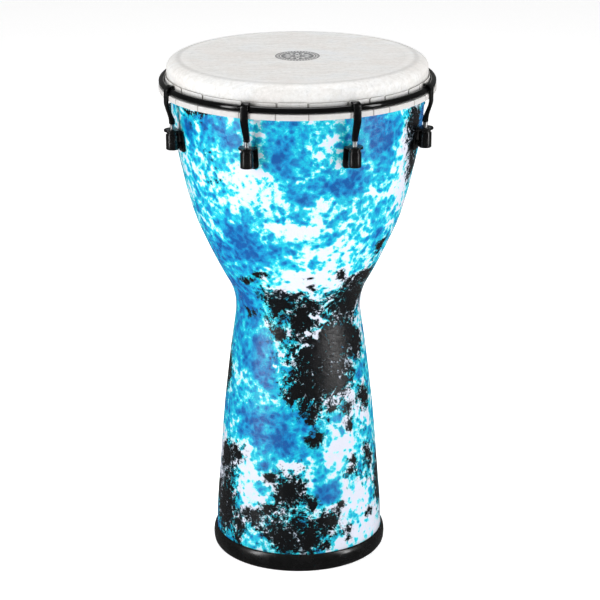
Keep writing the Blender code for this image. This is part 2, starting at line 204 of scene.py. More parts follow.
def bar(name, stations):
    """Bar in the plane x = 0 from (radius, height, tilt, width, thickness, corner) stations."""
    verts = []
    for radius, height, tilt, width, thickness, corner in stations:
        angle = math.radians(tilt)
        out = Vector((0, -math.cos(angle), math.sin(angle)))
        middle = Vector((0, -radius, height))
        section = round_section(width, thickness, corner)
        verts += [(middle + Vector((across, 0, 0)) + out * depth) * MM for across, depth in section]
    return recalculated(capped(name, verts, len(section), 50.0))


def recalculated(mesh):
    """Makes every face point outwards."""
    bm = bmesh.new()
    bm.from_mesh(mesh)
    bmesh.ops.recalc_face_normals(bm, faces=bm.faces)
    bm.to_mesh(mesh)
    bm.free()
    return mesh


def joined(name, meshes):
    """One mesh from several that don't share vertices."""
    verts = []
    faces = []
    for mesh in meshes:
        base = len(verts)
        verts += [v.co.copy() for v in mesh.vertices]
        faces += [[base + i for i in polygon.vertices] for polygon in mesh.polygons]
    return recalculated(finish_mesh(name, verts, faces))


def added(name, data):
    """New object in the scene."""
    obj = bpy.data.objects.new(name, data)
    bpy.context.scene.collection.objects.link(obj)
    return obj


def changed(mesh, build):
    """Mesh after the modifiers that build adds to an object holding it."""
    holder = added("holder", mesh)
    helpers = build(holder) or []
    bpy.context.view_layer.update()
    evaluated = holder.evaluated_get(bpy.context.evaluated_depsgraph_get())
    result = bpy.data.meshes.new_from_object(evaluated)
    result.name = mesh.name
    for obj in [holder, *helpers]:
        bpy.data.objects.remove(obj, do_unlink=True)
    result.shade_smooth()
    result.set_sharp_from_angle(angle=math.radians(SHARP_ANGLE))
    return result


def drilled(mesh, cutter, matrix):
    """Mesh less the cutter placed by the matrix."""
    def build(holder):
        helper = added("cutter", cutter)
        helper.matrix_world = matrix
        modifier = holder.modifiers.new("cut", "BOOLEAN")
        modifier.operation = "DIFFERENCE"
        modifier.solver = "EXACT"
        modifier.object = helper
        return [helper]
    return changed(mesh, build)


def rounded_copy(node, width):
    """A copy of a CAD node's mesh with its edges rounded."""
    mesh = frame["nodes"][node].data.copy()

    def build(holder):
        weld = holder.modifiers.new("weld", "WELD")
        weld.merge_threshold = 1e-6
        bevel = holder.modifiers.new("bevel", "BEVEL")
        bevel.width = width * MM
        bevel.segments = 2
        bevel.limit_method = "ANGLE"
        bevel.angle_limit = math.radians(34)
        bevel.use_clamp_overlap = True
    result = changed(mesh, build)
    result.materials.clear()
    return result


def place(name, mesh, material, body, replaces=(), turn=0.0):
    """Adds one piece that rides a body, turned round the drum's axis by degrees."""
    if not mesh.materials:
        mesh.materials.append(material)
    obj = added(name, mesh)
    obj.rotation_euler = (0, 0, math.radians(turn))
    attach(obj, body)
    if replaces:
        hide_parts(*replaces)


# ---- material helpers

def set_range(node, *limits):
    for key, number in zip(("From Min", "From Max", "To Min", "To Max"), limits):
        node.inputs[key].default_value = number


class Nodes:
    """A material's node tree, with short calls for the nodes used here."""

    def __init__(self, name):
        self.material = bpy.data.materials.new(name)
        self.material.use_nodes = True
        self.tree = self.material.node_tree
        self.shader = self.tree.nodes["Principled BSDF"]
        self.coords = self.add("ShaderNodeTexCoord").outputs["Object"]

    def add(self, kind, **settings):
        node = self.tree.nodes.new(kind)
        for key, value in settings.items():
            setattr(node, key, value)
        return node

    def link(self, value, socket):
        """Connects an output, or sets a constant."""
        if isinstance(value, bpy.types.NodeSocket):
            self.tree.links.new(value, socket)
        else:
            socket.default_value = value

    def math(self, operation, a, b=0.0, c=0.0, clamp=False):
        node = self.add("ShaderNodeMath", operation=operation, use_clamp=clamp)
        for value, socket in zip((a, b, c), node.inputs):
            self.link(value, socket)
        return node.outputs[0]

    def scaled(self, x, y, z):
        """Object coordinates stretched by a factor along each axis."""
        node = self.add("ShaderNodeMapping")
        self.link(self.coords, node.inputs["Vector"])
        node.inputs["Scale"].default_value = (x, y, z)
        return node.outputs[0]

    def texture(self, node, vector=None, **values):
        """Outputs of a texture node, fed with a vector or the object coordinates."""
        self.link(vector or self.coords, node.inputs["Vector"])
        for key, value in values.items():
            node.inputs[key].default_value = value
        return node.outputs

    def noise(self, scale, detail, rough, distortion=0.0, vector=None):
        node = self.add("ShaderNodeTexNoise")
        values = {"Scale": scale, "Detail": detail, "Roughness": rough, "Distortion": distortion}
        return self.texture(node, vector, **values)["Fac"]

    def cells(self, scale, feature, vector=None):
        node = self.add("ShaderNodeTexVoronoi", feature=feature)
        return self.texture(node, vector, Scale=scale)["Distance"]

    def attribute(self, name):
        """A number stored on the mesh's points."""
        return self.add("ShaderNodeAttribute", attribute_name=name).outputs["Fac"]

    def ramp(self, value, low, high, to_low=0.0, to_high=1.0, smooth=True):
        node = self.add("ShaderNodeMapRange", interpolation_type="SMOOTHSTEP" if smooth else "LINEAR")
        set_range(node, low, high, to_low, to_high)
        self.link(value, node.inputs["Value"])
        return node.outputs["Result"]

    def colours(self, value, stops):
        node = self.add("ShaderNodeValToRGB")
        ramp = node.color_ramp
        while len(ramp.elements) < len(stops):
            ramp.elements.new(0.5)
        for element, (position, colour) in zip(ramp.elements, stops):
            element.position = position
            element.color = (*colour, 1.0)
        self.link(value, node.inputs["Fac"])
        return node.outputs["Color"]

    def mix(self, factor, a, b):
        node = self.add("ShaderNodeMix", data_type="RGBA")
        self.link(factor, node.inputs["Factor"])
        for value, socket in ((a, node.inputs[6]), (b, node.inputs[7])):
            self.link(value if isinstance(value, bpy.types.NodeSocket) else (*value, 1.0), socket)
        return node.outputs[2]

    def spread(self, fac):
        """A noise factor widened to run from about -0.5 to 0.5."""
        return self.ramp(fac, 0.3, 0.7, -0.5, 0.5, False)

    def total(self, start, *terms):
        """Start plus the sum of (term, weight) products."""
        value = start
        for term, weight in terms:
            value = self.math("MULTIPLY_ADD", term, weight, value)
        return value

    def below(self, value, limit):
        """1 where a value is under a limit, with a soft edge of about half a millimetre."""
        return self.math("SUBTRACT", 1.0, self.ramp(self.math("SUBTRACT", value, limit), -0.25, 0.25))

    def ring(self, value, low, high):
        """1 where a value lies between two limits."""
        return self.math("SUBTRACT", self.below(value, high), self.below(value, low), clamp=True)

    def near(self, value, middle, core, reach, strength):
        """Strength where a value is within core of the middle, fading to nothing at reach."""
        away = self.math("ABSOLUTE", self.math("SUBTRACT", value, middle))
        return self.ramp(away, core, reach, strength, 0.0)

    def warped(self, scale, reach):
        """Object coordinates pushed about by a noise, by up to reach metres."""
        wander = self.texture(self.add("ShaderNodeTexNoise"), Scale=scale, Detail=5)["Color"]
        push = self.add("ShaderNodeVectorMath", operation="MULTIPLY_ADD")
        self.link(wander, push.inputs[0])
        push.inputs[1].default_value = (reach, reach, reach)
        self.link(self.coords, push.inputs[2])
        return push.outputs[0]

    def xyz(self):
        node = self.add("ShaderNodeSeparateXYZ")
        self.link(self.coords, node.inputs[0])
        return node.outputs

    def bump(self, height, strength, distance, after=None):
        """Normal bumped by a height; distance is in millimetres."""
        node = self.add("ShaderNodeBump")
        self.link(height, node.inputs["Height"])
        node.inputs["Strength"].default_value = strength
        node.inputs["Distance"].default_value = distance * MM
        if after is not None:
            self.link(after, node.inputs["Normal"])
        return node.outputs["Normal"]

    def done(self, colour, roughness, normal=None, metallic=0.0, specular=0.5):
        """The material, with its shader's sockets connected or set."""
        self.link(colour, self.shader.inputs["Base Color"])
        self.link(roughness, self.shader.inputs["Roughness"])
        self.link(metallic, self.shader.inputs["Metallic"])
        self.shader.inputs["Specular IOR Level"].default_value = specular
        if normal is not None:
            self.link(normal, self.shader.inputs["Normal"])
        return self.material


def painted_steel(name, tone, roughness, peel):
    """Powder coat or black oxide: fine orange peel, dusty patches, paler rubbed spots."""
    n = Nodes(name)
    dust = n.noise(60, 6, 0.6)
    rubbed = n.ramp(n.noise(350, 5, 0.7), 0.62, 0.78)
    clean = (tone * 0.75, tone * 0.75, tone * 0.75)
    dusty = (tone * 1.35, tone * 1.35, tone * 1.45)
    colour = n.mix(n.ramp(dust, 0.3, 0.7), clean, dusty)
    colour = n.mix(n.math("MULTIPLY", rubbed, 0.25), colour, (tone * 4, tone * 4, tone * 4.2))
    rough = n.ramp(dust, 0.3, 0.7, roughness - 0.05, roughness + 0.07)
    rough = n.math("ADD", rough, n.math("MULTIPLY", rubbed, 0.08))
    normal = n.bump(n.noise(1400, 3, 0.6), peel, 0.06)
    return n.done(colour, rough, normal, specular=0.22)


def plated_steel(name, tone, roughness, streak=(1, 1, 9)):
    """Bare or zinc-plated steel: brushed streaks, cloudy patches, small dull spots."""
    n = Nodes(name)
    streaks = n.noise(700, 4, 0.6, vector=n.scaled(*streak))
    cloud = n.noise(120, 5, 0.6)
    cloudy = (tone * 0.82, tone * 0.84, tone * 0.88)
    clear = (tone, tone * 0.99, tone * 0.96)
    colour = n.colours(cloud, [(0.3, cloudy), (0.7, clear)])
    spots = n.ramp(n.noise(480, 4, 0.6), 0.6, 0.75, 0.0, 0.35)
    colour = n.mix(spots, colour, (tone * 0.5, tone * 0.5, tone * 0.5))
    rough = n.ramp(streaks, 0.3, 0.7, roughness - 0.06, roughness + 0.1)
    rough = n.math("ADD", rough, n.ramp(cloud, 0.3, 0.7, 0.0, 0.08))
    normal = n.bump(streaks, 0.15, 0.05)
    return n.done(colour, rough, normal, metallic=1.0)


def moulded_rubber(name, tone, roughness):
    """Matt rubber: fine spark-eroded grain, faint bloom, low scuffs."""
    n = Nodes(name)
    bloom = n.noise(45, 6, 0.65)
    scuff = n.ramp(n.noise(160, 6, 0.7, 1.5, n.scaled(1, 1, 3)), 0.6, 0.72)
    clean = (tone * 0.8, tone * 0.8, tone * 0.82)
    bloomed = (tone * 1.7, tone * 1.7, tone * 1.75)
    colour = n.mix(n.ramp(bloom, 0.3, 0.75), clean, bloomed)
    colour = n.mix(n.math("MULTIPLY", scuff, 0.3), colour, (tone * 3, tone * 3, tone * 3))
    rough = n.ramp(bloom, 0.3, 0.7, roughness - 0.06, roughness + 0.08)
    rough = n.math("ADD", rough, n.math("MULTIPLY", scuff, 0.1))
    normal = n.bump(n.noise(1900, 3, 0.7), 0.3, 0.05)
    return n.done(colour, rough, normal, specular=0.38)


# Dye colours, pale to deep
LILAC_WHITE = (0.64, 0.66, 0.76)
ICE = (0.42, 0.76, 0.84)
PALE_CYAN = (0.04, 0.66, 0.74)
CYAN = (0.0, 0.48, 0.62)
AZURE = (0.0, 0.22, 0.51)
DEEP_BLUE = (0.0, 0.08, 0.30)
TEAL_BLACK = (0.0, 0.09, 0.125)
INK_BLACK = (0.0025, 0.003, 0.004)


def dyed_material():
    """Printed, cloudy dye under a satin leather-grained skin."""
    n = Nodes("dyed_shell_film")
    cloud = n.spread(n.noise(55, 8, 0.62, 0.9))
    drops = n.ramp(n.cells(150, "SMOOTH_F1", n.warped(60, 0.011)), 0.12, 0.62, 0.5, -0.5)
    blot = n.ramp(n.cells(70, "SMOOTH_F1", n.warped(45, 0.016)), 0.12, 0.66, 0.5, -0.5)
    fibre = n.spread(n.noise(170, 7, 0.7, 2.4))
    speck = n.spread(n.noise(520, 4, 0.7, 1.0))
    blues = ((cloud, 0.34), (blot, 0.24), (drops, 0.30), (fibre, 0.27), (speck, 0.08))
    ink = n.total(n.attribute("ink"), *blues)
    colour = n.colours(ink, [
        (0.17, LILAC_WHITE), (0.24, ICE), (0.295, PALE_CYAN), (0.38, CYAN), (0.58, AZURE), (0.84, DEEP_BLUE),
    ])
    branch = n.spread(n.noise(75, 10, 0.76, 2.6))
    blacks = ((branch, 0.74), (fibre, 0.60), (drops, 0.22), (speck, 0.16))
    dark = n.total(n.attribute("black"), *blacks)
    colour = n.mix(n.ramp(dark, 0.40, 0.55, 0.0, 0.85), colour, TEAL_BLACK)
    colour = n.mix(n.ramp(dark, 0.52, 0.59), colour, INK_BLACK)
    pores = n.cells(480, "DISTANCE_TO_EDGE")
    grain = n.noise(330, 3, 0.6)
    skin = n.math("ADD", n.ramp(pores, 0.0, 0.3, 0.0, 0.4), n.ramp(grain, 0.36, 0.64))
    rough = n.ramp(n.noise(75, 5, 0.6), 0.3, 0.7, 0.2, 0.27)
    return n.done(colour, rough, n.bump(skin, 0.9, 0.2))


def inner_material():
    """Raw moulded wall: dark grey with flow marks."""
    n = Nodes("shell_inside")
    flow = n.noise(18, 7, 0.6, 1.0, n.scaled(1, 1, 4))
    colour = n.colours(flow, [(0.3, (0.018, 0.018, 0.02)), (0.7, (0.032, 0.032, 0.034))])
    rough = n.ramp(n.noise(200, 4, 0.6), 0.3, 0.7, 0.45, 0.62)
    normal = n.bump(n.noise(500, 5, 0.65), 0.35, 0.15)
    return n.done(colour, rough, normal, specular=0.35)


EMBLEM_RADIUS = 26.0
EMBLEM_PETALS = 12
EMBLEM_DASHES = 40
SHADE_LINE_RADIUS = 124.5  # thin line of painted shade near where the film starts to roll over
SHADE_RING_RADIUS = 138.5  # middle of the painted shade ring on the rolled shoulder


def emblem_mark(n, x, y, radius):
    """Generic printed rosette: a dark disc with light petals, heart, circle and dashes."""
    angle = n.math("ARCTAN2", y, x)
    wave = n.math("ABSOLUTE", n.math("COSINE", n.math("MULTIPLY", angle, EMBLEM_PETALS / 2)))
    petal_base = n.math("MULTIPLY_ADD", wave, 6.5, 4.5)
    petal_tip = n.math("MULTIPLY_ADD", wave, 9.5, 6.5)
    petals = n.ring(radius, petal_base, petal_tip)
    heart = n.below(radius, 3.2)
    circle = n.ring(radius, EMBLEM_RADIUS - 6.8, EMBLEM_RADIUS - 5.6)
    dash = n.ramp(n.math("SINE", n.math("MULTIPLY", angle, EMBLEM_DASHES)), -0.2, 0.2)
    dashes = n.math("MULTIPLY", dash, n.ring(radius, EMBLEM_RADIUS - 4.2, EMBLEM_RADIUS - 1.6))
    light = n.math("MAXIMUM", n.math("MAXIMUM", petals, heart), n.math("MAXIMUM", circle, dashes))
    mark = n.math("SUBTRACT", n.below(radius, EMBLEM_RADIUS), light, clamp=True)
    worn = n.ramp(n.noise(500, 5, 0.7), 0.3, 0.6, 0.7, 0.95)
    return n.math("MULTIPLY", mark, worn)


def head_material(name, playing_surface):
    """Off-white laminated film with fibre streaks and warm and cool mottling.

    Both have painted light across the rolled shoulder: a painted highlight band, a thin painted shade line
    and a painted shade ring. The playing surface has the printed rosette. The rest has painted shade on the
    tuck below the rim and painted shade lines at the slits and along the tabs' cut edges.
    """
    n = Nodes(name)
    x, y, z = n.xyz()
    streak = n.noise(75, 8, 0.75, 0.6, n.scaled(0.3, 2.6, 1.0))
    mottle = n.noise(14, 7, 0.68, 0.5)
    fleck = n.noise(230, 6, 0.75, 0.4)
    colour = n.colours(mottle, [
        (0.36, (0.71, 0.68, 0.655)), (0.5, (0.74, 0.73, 0.715)), (0.64, (0.715, 0.73, 0.745)),
    ])
    colour = n.mix(n.ramp(streak, 0.42, 0.62, 0.0, 0.5), colour, (0.60, 0.59, 0.565))
    colour = n.mix(n.ramp(fleck, 0.50, 0.62, 0.0, 0.4), colour, (0.84, 0.84, 0.83))
    colour = n.mix(n.ramp(fleck, 0.36, 0.46, 0.4, 0.0), colour, (0.52, 0.51, 0.49))
    squares = n.math("ADD", n.math("POWER", x, 2.0), n.math("POWER", y, 2.0))
    radius = n.math("DIVIDE", n.math("SQRT", squares), MM)
    # Painted light across the rolled shoulder: pale is a painted highlight band, then a thin painted shade
    # line and a painted shade ring
    pale = n.near(radius, (SHADE_LINE_RADIUS + SHADE_RING_RADIUS) / 2, 2.5, 6.0, 0.2)
    colour = n.mix(pale, colour, (0.82, 0.81, 0.80))
    shade_line = n.near(radius, SHADE_LINE_RADIUS, 0.2, 1.1, 0.15)
    colour = n.mix(shade_line, colour, (0.5, 0.49, 0.47))
    shade_ring = n.near(radius, SHADE_RING_RADIUS, 0.3, 5.0, 0.34)
    colour = n.mix(shade_ring, colour, (0.40, 0.39, 0.38))
    if playing_surface:
        colour = n.mix(emblem_mark(n, x, y, radius), colour, (0.08, 0.08, 0.085))
    else:
        # Painted shade on the tuck below the rim: greyer from just above TUCK_TOP downwards
        tuck = n.ramp(z, (TUCK_TOP - 2) * MM, (TUCK_TOP + 0.2) * MM, 0.66, 0.0)
        colour = n.mix(tuck, colour, (0.47, 0.45, 0.44))
        # Painted shade lines in the slits and along the tabs' cut edges, where the cut attribute is 1
        colour = n.mix(n.math("MULTIPLY", n.attribute("cut"), 0.85), colour, (0.16, 0.15, 0.135))
    rough = n.ramp(streak, 0.35, 0.7, 0.42, 0.56)
    normal = n.bump(streak, 0.12, 0.08, n.bump(n.noise(1300, 3, 0.6), 0.2, 0.04))
    return n.done(colour, rough, normal, specular=0.4)


def floor_material():
    """Matt white that glows a little, so that it stays as white as the photograph's background."""
    n = Nodes("studio_floor")
    colour = n.colours(n.noise(3, 4, 0.5), [(0.3, (0.93, 0.93, 0.93)), (0.7, (0.95, 0.95, 0.95))])
    n.shader.inputs["Emission Color"].default_value = (1.0, 1.0, 1.0, 1.0)
    n.shader.inputs["Emission Strength"].default_value = FLOOR_GLOW
    return n.done(colour, 0.9, specular=0.0)


# ---- shell

# Dye patches: azimuth, height, half width in degrees, half height in mm
AZURE_WASHES = [(-56, 340, 26, 44), (-25, 180, 30, 28)]  # dyed before the whites and again after
WHITE_PATCHES = [
    (-25, 497, 15, 30), (14, 550, 6, 10), (11, 469, 7, 9), (1, 435, 16, 12), (14, 408, 15, 14),
    (58, 525, 8, 32), (62, 465, 9, 16), (-63, 355, 13, 8), (4, 365, 26, 20), (-56, 237, 6, 10),
    (-26, 210, 10, 7), (26, 209, 7, 9), (44, 215, 6, 8), (-49, 268, 4, 6), (-66, 270, 4, 6),
    (79, 335, 6, 55), (-57, 175, 6, 8), (-41, 145, 6, 9), (-38, 105, 10, 25), (-11, 134, 8, 5),
    (33, 150, 9, 20), (21, 142, 5, 8), (5, 108, 5, 8), (59, 185, 6, 9), (53, 122, 5, 8), (47, 80, 13, 20),
    (23, 80, 5, 9), (25, 32, 6, 8), (-51, 62, 5, 10), (60, 35, 20, 15), (4, 543, 4, 7),
]
CYAN_PATCHES = [
    (7, 552, 8, 16), (4, 520, 6, 8), (51, 460, 6, 8), (10, 448, 4, 6), (24, 434, 8, 12), (10, 423, 5, 6),
    (-44, 452, 5, 8), (-4, 386, 5, 5), (6, 390, 5, 5), (26, 388, 6, 6), (-44, 375, 8, 6),
    (-58, 275, 28, 25), (-31, 347, 6, 8), (-30, 313, 5, 7), (5, 334, 6, 6), (3, 308, 4, 5),
    (78, 230, 9, 32), (10, 150, 5, 8), (21, 165, 6, 8), (52, 166, 6, 8), (49, 115, 10, 15), (46, 140, 6, 8),
    (64, 75, 6, 15), (-11, 26, 6, 6), (-26, 40, 6, 20), (-56, 68, 6, 28), (14, 48, 5, 8),
    (-43, 507, 10, 26),
]
AZURE_PATCHES = [
    AZURE_WASHES[0], (38, 517, 5, 8), (21, 471, 6, 9), (-1, 490, 5, 7), (2, 473, 4, 6), (33, 466, 3, 4),
    (42, 452, 4, 5), (49, 417, 5, 18), (43, 432, 4, 6), (1, 452, 3, 4), (-12, 447, 3, 4), (-17, 433, 3, 4),
    (-10, 415, 4, 5), (-3, 415, 3, 5), (-37, 435, 4, 5), (-18, 407, 4, 5), (-30, 448, 4, 5),
    (-65, 452, 7, 12), AZURE_WASHES[1], (-6, 232, 5, 6), (57, 230, 5, 6), (64, 240, 5, 6),
    (-68, 185, 6, 12), (11, 123, 4, 6), (18, 130, 4, 6), (14, 86, 4, 6), (10, 72, 4, 6), (1, 59, 6, 8),
    (-32, 104, 4, 6), (-24, 148, 4, 5), (-20, 137, 4, 4), (-28, 130, 4, 5), (-57, 262, 10, 18),
    (-41, 165, 14, 8), (-15, 147, 14, 7),
]
DEEP_PATCHES = [
    (-59, 545, 5, 16), (-46, 553, 3, 6), (-34, 548, 5, 12), (-8, 530, 7, 26), (39, 545, 11, 23),
    (21, 493, 10, 14), (-33, 418, 10, 16), (-45, 398, 27, 12), (-57, 330, 9, 12), (-61, 312, 8, 7),
    (-37, 245, 10, 18), (-38, 280, 7, 9), (-26, 250, 5, 8), (-36, 182, 8, 8), (-21, 165, 7, 8),
    (-9, 160, 7, 8), (17, 100, 9, 12), (74, 545, 5, 14), (52, 253, 4, 5), (38, 268, 5, 4), (47, 277, 5, 4),
    (58, 289, 7, 4),
]
BLACK_PATCHES = [
    (-51, 564, 11, 4), (63, 551, 8, 17), (66, 520, 8, 18), (70, 489, 8, 19), (59, 395, 5, 9),
    (-41, 360, 6, 6), (-28, 370, 6, 5), (-21, 330, 14, 16), (-5, 341, 5, 6), (2, 312, 12, 18),
    (11, 328, 7, 8), (-23, 297, 9, 9), (10, 272, 26, 22), (24, 236, 24, 28), (2, 228, 15, 18),
    (34, 280, 14, 22), (49, 285, 10, 14), (49, 325, 28, 27), (29, 367, 5, 5), (36, 358, 5, 6),
    (57, 358, 12, 12), (59, 270, 10, 16), (61, 205, 8, 10), (9, 352, 3, 4), (-16, 350, 3, 4),
    (6, 368, 3, 4), (7, 195, 8, 12), (8, 168, 5, 7), (15, 170, 5, 8), (41, 197, 5, 6), (39, 178, 5, 6),
    (26, 197, 5, 5), (61, 130, 5, 20), (40, 130, 4, 6), (38, 115, 4, 5), (57, 56, 4, 6), (77, 88, 6, 38),
    (-69, 127, 13, 20), (-68, 65, 15, 40), (-51, 137, 6, 7), (-9, 103, 14, 26), (-25, 120, 5, 6),
    (-25, 75, 5, 6), (7, 91, 4, 6), (-37, 62, 8, 12), (-11, 45, 13, 25), (5, 38, 7, 18), (19, 62, 8, 14),
    (29, 83, 5, 7), (35, 50, 5, 7), (36, 35, 4, 6), (16, 30, 4, 6), (-49, 28, 5, 7), (-48, 45, 4, 7),
    (-54, 313, 8, 3),
]
TEAL_PATCHES = [
    (-48, 522, 5, 7), (-45, 506, 5, 6), (-43, 480, 4, 7), (-49, 520, 9, 14), (-44, 485, 7, 12),
    (-76, 495, 4, 22), (-54, 552, 8, 10), (52, 166, 8, 9), (-62, 120, 9, 30), (-58, 70, 9, 40),
    (50, 110, 16, 18), (72, 90, 10, 40), (-20, 345, 14, 8), (-50, 314, 10, 6), (44, 345, 20, 12),
    (-28, 300, 9, 12), (-25, 45, 8, 20), (12, 60, 16, 20), (72, 225, 8, 26), (58, 195, 10, 20),
]
WHITE_VEINS = [
    ((11, 318), (19, 305), (23, 302)), ((7, 297), (15, 289), (21, 297)), ((-11, 272), (-1, 277), (9, 281)),
    ((-20, 268), (-16, 266)), ((-24, 251), (-20, 248)),
]
VEIN_HALF = 1.5

# Amount of blue ink, from 0 for white to 1 for deep blue
BASE_INK = 0.40
WASH_INK = 0.62
WHITE_INK = 0.09
CYAN_INK = 0.47
AZURE_INK = 0.66
DEEP_INK = 0.88
VEIN_INK = 0.1
TEAL_STRENGTH = 0.42
BLACK_STRENGTH = 0.98

PATCH_FALLOFF = 0.75
DRIFT_SCALE = 38  # noise that moves the patches' outlines
DRIFT_SIDEWAYS = 420
DRIFT_UP = 8.5

# The side that the photograph doesn't show is dyed in the same style by a seeded pattern
BACK_START = 82
BACK_SEED = 20260
BACK_PATCHES = (  # kind, count, half width, half height
    ("white", 46, 9, 17), ("cyan", 34, 7, 12), ("azure", 42, 6, 11), ("deep", 24, 8, 13),
    ("black", 60, 6, 11),
)
BACK_BLACK_CLUSTERS = ((128, 268), (208, 322), (236, 90), (150, 70), (262, 238), (185, 470))

SHELL_SIDES = 400
SHELL_STEPS = 13
INNER_SIDES = 128
INNER_STEPS = 4
LIP_BASE = 10  # the inner wall's curve ends this far below the bearing edge


def shell_profiles():
    """Smooth outer and inner (radius, height) curves through the CAD shell's own corners."""
    outer = {}
    inner = {}
    for vertex in frame["nodes"]["shell"].data.vertices:
        if abs(vertex.co.x) < 1e-5 and vertex.co.y < 0:
            side = outer if vertex.normal.y < 0 else inner
            side[round(vertex.co.z / MM, 2)] = round(-vertex.co.y / MM, 3)
    edge_start = ROLL_CENTRE[1]
    outer = [(r, z) for z, r in sorted(outer.items()) if z <= edge_start + 0.1]
    inner = [(r, z) for z, r in sorted(inner.items()) if z <= edge_start - LIP_BASE]
    return smoothed(outer, SHELL_STEPS), smoothed(inner, INNER_STEPS)


def scattered_patches(rng):
    """Patches for the side that the photograph doesn't show."""
    lists = {kind: [] for kind, *_ in BACK_PATCHES}
    for kind, count, width, height in BACK_PATCHES:
        for _ in range(count):
            grow = rng.uniform(0.5, 1.5) ** 1.6
            azimuth = rng.uniform(BACK_START, 360 - BACK_START)
            lists[kind].append((azimuth, rng.uniform(10, 575), width * grow, height * grow))
    for azimuth, height in BACK_BLACK_CLUSTERS:
        lists["black"].append((azimuth, height, 19, 30))
        for _ in range(5):
            lists["black"].append((azimuth + rng.uniform(-26, 26), height + rng.uniform(-42, 42), 9, 15))
    return lists


def around(azimuth, middle):
    """Degrees from the middle azimuth, from -180 to 180."""
    return (azimuth - middle + 180) % 360 - 180


def patch_weight(azimuth, height, patch):
    """1 in the middle of a patch, less towards its edge and beyond."""
    middle, level, half_width, half_height = patch
    distance = (around(azimuth, middle) / half_width) ** 2 + ((height - level) / half_height) ** 2
    return np.exp(-PATCH_FALLOFF * distance)


def vein_weight(azimuth, height, radius, points):
    """1 on a line over the shell, less away from it."""
    best = np.full(azimuth.shape, np.inf)
    scale = np.radians(1) * radius
    for (a0, z0), (a1, z1) in zip(points, points[1:]):
        px = around(azimuth, a0) * scale
        py = height - z0
        qx = (a1 - a0) * scale
        qy = z1 - z0
        t = np.clip((px * qx + py * qy) / (qx * qx + qy * qy), 0, 1)
        best = np.minimum(best, np.hypot(px - t * qx, py - t * qy))
    return np.exp(-(best / VEIN_HALF) ** 2)


def drift(points, offset):
    """Noise at each point, from about -1 to 1."""
    return np.array([noise.fractal(Vector(p) * DRIFT_SCALE + Vector(offset), 0.7, 2.1, 5) for p in points])


def dye_fields(points):
    """Blue ink and black strength at each point of the outer surface."""
    azimuth = np.degrees(np.arctan2(points[:, 0], -points[:, 1]))
    height = points[:, 2] / MM
    radius = np.hypot(points[:, 0], points[:, 1]) / MM
    azimuth = azimuth + drift(points, (0, 0, 0)) * DRIFT_SIDEWAYS / radius
    height = height + drift(points, (9, 4, 1)) * DRIFT_UP
    back = scattered_patches(random.Random(BACK_SEED))
    ink = np.full(azimuth.shape, BASE_INK)
    black = np.zeros(azimuth.shape)
    layers = (
        (AZURE_WASHES, WASH_INK),
        (WHITE_PATCHES + back["white"], WHITE_INK),
        (CYAN_PATCHES + back["cyan"], CYAN_INK),
        (AZURE_PATCHES + back["azure"], AZURE_INK),
        (DEEP_PATCHES + back["deep"], DEEP_INK),
    )
    for patches, target in layers:
        for patch in patches:
            ink = ink + (target - ink) * patch_weight(azimuth, height, patch)
    for patch in TEAL_PATCHES:
        black = np.maximum(black, TEAL_STRENGTH * patch_weight(azimuth, height, patch))
    for patch in BLACK_PATCHES + back["black"]:
        black = black + (BLACK_STRENGTH - black) * patch_weight(azimuth, height, patch)
    for vein in WHITE_VEINS:
        weight = vein_weight(azimuth, height, radius, vein)
        black = black * (1 - weight)
        ink = ink + (VEIN_INK - ink) * weight
    return ink, black


def store(mesh, name, values):
    """Keeps a number for each point, for the material to read."""
    layer = mesh.attributes.new(name, "FLOAT", "POINT")
    layer.data.foreach_set("value", np.ascontiguousarray(values, dtype=np.float32))


def build_shell():
    """The dyed outer skin, and the bare wall with its turned-in edge and foot."""
    outer, inner = shell_profiles()
    skin = lathe("shell_skin", outer, SHELL_SIDES, closed=False)
    points = np.empty(len(skin.vertices) * 3)
    skin.vertices.foreach_get("co", points)
    ink, black = dye_fields(points.reshape(-1, 3))
    store(skin, "ink", ink)
    store(skin, "black", black)
    place("shell_skin", skin, dyed_material(), "shell_body", ("shell",))
    inset = FILM + GAP
    edge = arc(ROLL_CENTRE, (ROLL_REACH - inset, ROLL_HEIGHT - inset), 0, 90, 14)
    top = edge[-1][1]
    lip = [
        (LIP_RADIUS + 0.6, top - 0.5), (LIP_RADIUS, top - 2), (LIP_RADIUS, top - 4),
        (LIP_RADIUS + 1.0, top - 6.5), (LIP_RADIUS + 3.5, top - 11),
    ]
    outline = [tuple(outer[-1])] + edge[1:] + lip + [tuple(p) for p in reversed(inner)]
    side = lathe("shell_inner_side", outline, INNER_SIDES, closed=False)
    foot = lathe("shell_foot_edge", [tuple(inner[0]), tuple(outer[0])], INNER_SIDES, closed=False)
    place("shell_wall", joined("shell_wall", [side, foot]), inner_material(), "shell_body")


# ---- foot ring

FOOT_GROOVES = (97.2, 99.4)  # radii of two grooves in the underside


